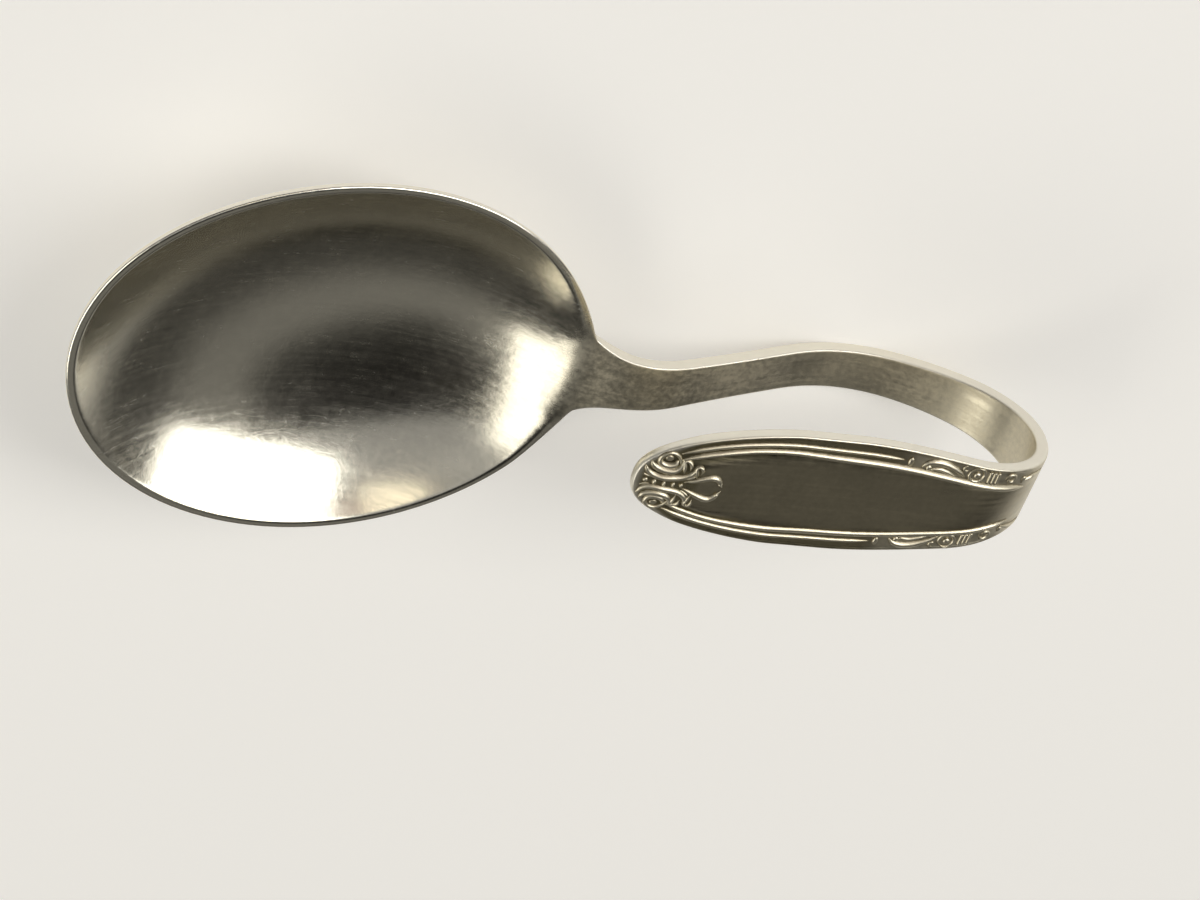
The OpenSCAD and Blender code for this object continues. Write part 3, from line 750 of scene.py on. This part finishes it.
# Scratches lie on the level lines of a drawn-out noise, a few tenths of a millimetre apart
scratchSets = []
for turn in handPolished["scratchTurns"]:
    drawnOut = (1 / handPolished["scratchLength"], 1 / handPolished["scratchSpacing"], 50)
    scratchPlace = addNode(tree, "ShaderNodeMapping",
                           inputs={"Rotation": (0, 0, math.radians(turn)), "Scale": drawnOut},
                           links={"Vector": blank}).outputs[0]
    wander = addNode(tree, "ShaderNodeTexNoise", inputs={"Scale": 1, "Detail": 1, "Roughness": 0.4},
                     links={"Vector": scratchPlace}).outputs["Fac"]
    line = addNode(tree, "ShaderNodeValToRGB", links={"Fac": wander})
    setRamp(line, list(zip(handPolished["scratchLine"], (grey(0), grey(1), grey(0)))))
    scratchSets.append(line.outputs["Color"])
scratches = scratchSets[0]
for others in scratchSets[1:]:
    scratches = addNode(tree, "ShaderNodeMath", {"operation": "MAXIMUM"}, links={0: scratches, 1: others}).outputs[0]

# Grain and clouds mottle the metal: cloudiest on the neck, where no cloth reaches, and streaked on the panel
clouded = addNode(tree, "ShaderNodeMix", {"data_type": "FLOAT"}, {0: handPolished["cloudShare"]},
                  {2: grain, 3: cloud}).outputs[0]
lengthwise = addNode(tree, "ShaderNodeMath", {"operation": "MULTIPLY"}, {1: handPolished["panelStreaks"]},
                     {0: toned}).outputs[0]
mottle = addNode(tree, "ShaderNodeMix", {"data_type": "FLOAT"},
                 links={0: lengthwise, 2: clouded, 3: streaks}).outputs[0]
mottleShade = addNode(tree, "ShaderNodeMapRange", inputs=handPolished["mottleShade"],
                      links={"Value": mottle}).outputs[0]
alongMottle = addNode(tree, "ShaderNodeMapRange", inputs=handPolished["mottleRun"], links={"Value": along}).outputs[0]
mottleReach = addNode(tree, "ShaderNodeValToRGB", links={"Fac": alongMottle})
setRamp(mottleReach, [(place, grey(share)) for place, share in handPolished["mottleReach"]])
offEdgeWearAndHighlight = addNode(tree, "ShaderNodeMath", {"operation": "SUBTRACT"}, {0: 1}, {1: bright}).outputs[0]
mottleShare = addNode(tree, "ShaderNodeMath", {"operation": "MULTIPLY"},
                      links={0: mottleReach.outputs["Color"], 1: offEdgeWearAndHighlight}).outputs[0]

bareColour = addNode(tree, "ShaderNodeMix", {"data_type": "RGBA"},
                     {6: linearColour(handPolished["stemColour"]), 7: linearColour(handPolished["bowlColour"])},
                     {0: inBowl}).outputs[2]
toneColour = addNode(tree, "ShaderNodeValToRGB", links={"Fac": toned})
setRamp(toneColour, [(0, grey(1)), (toning["fieldPatina"], linearColour(handPolished["panelColour"])),
                     (1, linearColour(handPolished["grooveColour"]))])
# The edges are mixed towards a lighter colour, partly wear and partly a painted highlight, and the mottle is kept off
# them
withEdgeWearAndHighlight = addNode(tree, "ShaderNodeMix", {"data_type": "RGBA"}, {7: linearColour(handPolished["edgeWearAndHighlightColour"])},
                   {0: bright, 6: bareColour}).outputs[2]
withTone = addNode(tree, "ShaderNodeMix", {"data_type": "RGBA", "blend_type": "MULTIPLY"}, {0: 1},
                   {6: withEdgeWearAndHighlight, 7: toneColour.outputs["Color"]}).outputs[2]
withMottle = addNode(tree, "ShaderNodeMix", {"data_type": "RGBA", "blend_type": "MULTIPLY"},
                     links={0: mottleShare, 6: withTone, 7: mottleShade}).outputs[2]
tree.links.new(withMottle, metal.inputs["Base Color"])

bareRough = addNode(tree, "ShaderNodeMapRange",
                    inputs={"To Min": handPolished["stemRoughness"], "To Max": handPolished["bowlRoughness"]},
                    links={"Value": inBowl}).outputs[0]
tonedRough = addNode(tree, "ShaderNodeMix", {"data_type": "FLOAT"}, {3: handPolished["panelRoughness"]},
                     {0: toned, 2: bareRough}).outputs[0]
streakRough = addNode(tree, "ShaderNodeMapRange", inputs=handPolished["streakRough"],
                      links={"Value": streaks}).outputs[0]
mottleRough = addNode(tree, "ShaderNodeMapRange", inputs=handPolished["mottleRough"],
                      links={"Value": mottle}).outputs[0]
streakedRough = addNode(tree, "ShaderNodeMath", {"operation": "MULTIPLY"},
                        links={0: tonedRough, 1: streakRough}).outputs[0]
mottledRough = addNode(tree, "ShaderNodeMath", {"operation": "MULTIPLY"},
                       links={0: streakedRough, 1: mottleRough}).outputs[0]
scratchedRough = addNode(tree, "ShaderNodeMath", {"operation": "MULTIPLY_ADD"}, {1: handPolished["scratchRough"]},
                         {0: scratches, 2: mottledRough}).outputs[0]
tree.links.new(scratchedRough, metal.inputs["Roughness"])

streakBump = addNode(tree, "ShaderNodeBump", inputs=handPolished["streakBump"], links={"Height": streaks}).outputs[0]
grainBump = addNode(tree, "ShaderNodeBump", inputs=handPolished["grainBump"],
                    links={"Height": mottle, "Normal": streakBump}).outputs[0]
scratchBump = addNode(tree, "ShaderNodeBump", {"invert": True}, handPolished["scratchBump"],
                      {"Height": scratches, "Normal": grainBump}).outputs[0]
tree.links.new(scratchBump, metal.inputs["Normal"])
spoon.data.materials.clear()
spoon.data.materials.append(silver)

# Die-struck relief in the same silver: years of rubbing keep its crests bright, and tarnish stays at their feet
struck = {"wear": ((0.02, "#736a57"), (0.3, "#b3aa91"), (0.7, "#dcd4be")),  # from the foot over the flank to the crest
          "uneven": {"From Min": 0.3, "From Max": 0.7, "To Min": -0.14, "To Max": 0.14},
          "footRoughness": 0.4, "crestRoughness": 0.36, "grain": 0.00035,
          "grainBump": {"Strength": 0.25, "Distance": 0.00003}}

struckSilver, tree, metal = newMetal("dieStruckSilver")
objectPlace = addNode(tree, "ShaderNodeTexCoord").outputs["Object"]
crest = addNode(tree, "ShaderNodeAttribute", {"attribute_name": "crest"}).outputs["Fac"]
grain = addNode(tree, "ShaderNodeTexNoise", inputs={"Scale": 1 / struck["grain"], "Detail": 3, "Roughness": 0.6},
                links={"Vector": objectPlace}).outputs["Fac"]
uneven = addNode(tree, "ShaderNodeMapRange", inputs=struck["uneven"], links={"Value": grain}).outputs[0]
worn = addNode(tree, "ShaderNodeMath", {"operation": "ADD"}, links={0: crest, 1: uneven}).outputs[0]
wear = addNode(tree, "ShaderNodeValToRGB", links={"Fac": worn})
setRamp(wear, [(place, linearColour(code)) for place, code in struck["wear"]])
tree.links.new(wear.outputs["Color"], metal.inputs["Base Color"])
satin = addNode(tree, "ShaderNodeMapRange",
                inputs={"To Min": struck["footRoughness"], "To Max": struck["crestRoughness"]},
                links={"Value": worn}).outputs[0]
tree.links.new(satin, metal.inputs["Roughness"])
grainBump = addNode(tree, "ShaderNodeBump", inputs=struck["grainBump"], links={"Height": grain}).outputs[0]
tree.links.new(grainBump, metal.inputs["Normal"])
for piece in bpy.context.scene.objects:
    if piece.type == "MESH" and piece is not spoon and not piece.hide_render:
        piece.data.materials.clear()
        piece.data.materials.append(struckSilver)
print("silver laid on")

# The floor glows for the camera, and in reflections, but still takes the spoon's shadow
floorPaper = {"colour": "#dedcd8", "glowColour": "#f4f2ee", "glow": 0.4, "roughness": 0.7}
bpy.ops.object.select_all(action="DESELECT")
bpy.ops.mesh.primitive_plane_add(size=6)
floor = bpy.context.object
floor.name = "floor"
floorPaint = bpy.data.materials.new("floorPaint")
floorPaint.use_nodes = True
tree = floorPaint.node_tree
paint = tree.nodes["Principled BSDF"]
paint.inputs["Base Color"].default_value = linearColour(floorPaper["colour"])
paint.inputs["Roughness"].default_value = floorPaper["roughness"]
paint.inputs["Emission Color"].default_value = linearColour(floorPaper["glowColour"])
rays = addNode(tree, "ShaderNodeLightPath")
direct = addNode(tree, "ShaderNodeMath", {"operation": "MAXIMUM"},
                 links={0: rays.outputs["Is Camera Ray"], 1: rays.outputs["Is Glossy Ray"]}).outputs[0]
seen = addNode(tree, "ShaderNodeMath", {"operation": "MAXIMUM"},
               links={0: direct, 1: rays.outputs["Is Transmission Ray"]}).outputs[0]
glow = addNode(tree, "ShaderNodeMath", {"operation": "MULTIPLY"}, {1: floorPaper["glow"]}, {0: seen}).outputs[0]
tree.links.new(glow, paint.inputs["Emission Strength"])
floor.data.materials.append(floorPaint)

# The room, as levels of light by the height of a direction: 0 is the horizon and 1 straight up
roomLevels = [(0, 0.4), (0.1, 0.26), (0.18, 0.06), (0.36, 0.048), (0.48, 0.075), (0.58, 0.15), (0.66, 0.21),
              (0.76, 0.21), (0.83, 0.07), (0.9, 0.025), (1, 0.012)]
world = bpy.data.worlds.new("studio")
bpy.context.scene.world = world
world.use_nodes = True
tree = world.node_tree
sky = tree.nodes["Background"]
direction = addNode(tree, "ShaderNodeTexCoord").outputs["Generated"]
upwards = addNode(tree, "ShaderNodeSeparateXYZ", links={"Vector": direction}).outputs["Z"]
room = addNode(tree, "ShaderNodeValToRGB", links={"Fac": upwards})
setRamp(room, [(z, (level, level * 0.98, level * 0.92, 1)) for z, level in roomLevels])
tree.links.new(room.outputs["Color"], sky.inputs["Color"])

# Softboxes: azimuth, elevation, distance in metres, size, radiance, colour and roll
softboxes = {"windowBox": (41, 39.5, 1.0, (0.96, 0.42), 4, "#fffefa", 27),
             "warmCard": (70, 30, 1.1, (0.9, 0.3), 0.6, "#f0d8d0", 27),
             "smallLamp": (105, 46, 1.2, (0.42, 0.14), 2.2, "#fff4dc", 0),
             "neckBox": (-155, 40.5, 1.0, (1.04, 0.4), 2.4, "#fffcf2", -17),
             "ceilingGlow": (108, 64, 1.2, (1.6, 0.6), 0.34, "#ffffff", 0)}
for name, (azimuth, elevation, distance, size, radiance, colour, roll) in softboxes.items():
    a, e = math.radians(azimuth), math.radians(elevation)
    place = Vector((math.cos(a) * math.cos(e), math.sin(a) * math.cos(e), math.sin(e))) * distance
    out = place.normalized()
    east = Vector((-math.sin(a), math.cos(a), 0))
    across = east * math.cos(math.radians(roll)) + out.cross(east) * math.sin(math.radians(roll))
    bpy.ops.object.light_add(type="AREA", location=place)
    box = bpy.context.object
    box.name = name
    box.data.shape = "RECTANGLE"
    box.data.size, box.data.size_y = size
    box.data.energy = radiance * math.pi * size[0] * size[1]
    box.data.color = linearColour(colour)[:3]
    box.rotation_euler = Matrix((across, out.cross(across), out)).transposed().to_euler()

camera = {"place": (-0.0784262, 0.1714560, 0.2190749), "turn": (-42.52005, -8.29848, 16.09803), "lens": 92.4291}
bpy.ops.object.camera_add(location=camera["place"], rotation=[math.radians(a) for a in camera["turn"]])
bpy.context.object.data.lens = camera["lens"]
bpy.context.object.data.sensor_width = 36
bpy.context.scene.camera = bpy.context.object
bpy.context.scene.view_settings.view_transform = "Standard"
print("lit and framed")
